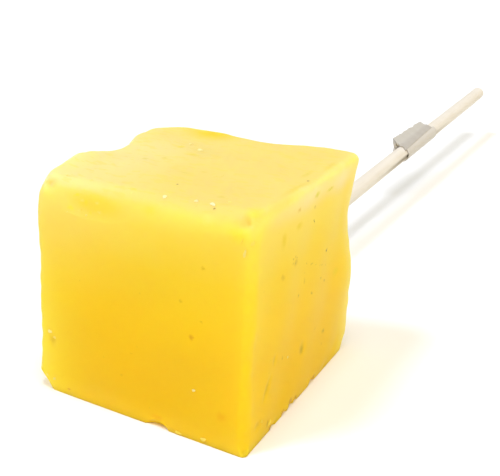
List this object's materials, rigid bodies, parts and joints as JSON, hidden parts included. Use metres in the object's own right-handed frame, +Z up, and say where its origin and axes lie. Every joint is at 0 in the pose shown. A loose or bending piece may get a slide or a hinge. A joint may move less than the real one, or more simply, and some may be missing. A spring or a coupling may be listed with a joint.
{
  "type": "square lollipop",
  "caption": "Square block of cloudy yellow hard candy on a long round wooden stick, lying on its side, with a folded paper band on the stick.",
  "frame": {"origin": "on the flat underside of the candy block, below its middle, on the surface that the lollipop lies on", "axes": "+Z up, +Y along the stick away from the candy, +X to the right when looking along +Y at the face opposite the stick"},
  "size_m": [0.0419, 0.2148, 0.0394],
  "materials": {
    "hard_candy": "cloudy, light passes through its edges, worn satin gloss",
    "pale_wood": "smooth bare turned wood",
    "grey_paper": "matte, folded"
  },
  "bodies": {
    "root": {"candy": "hard_candy", "stick": "pale_wood", "paper_band": "grey_paper"}
  },
  "joints": []
}
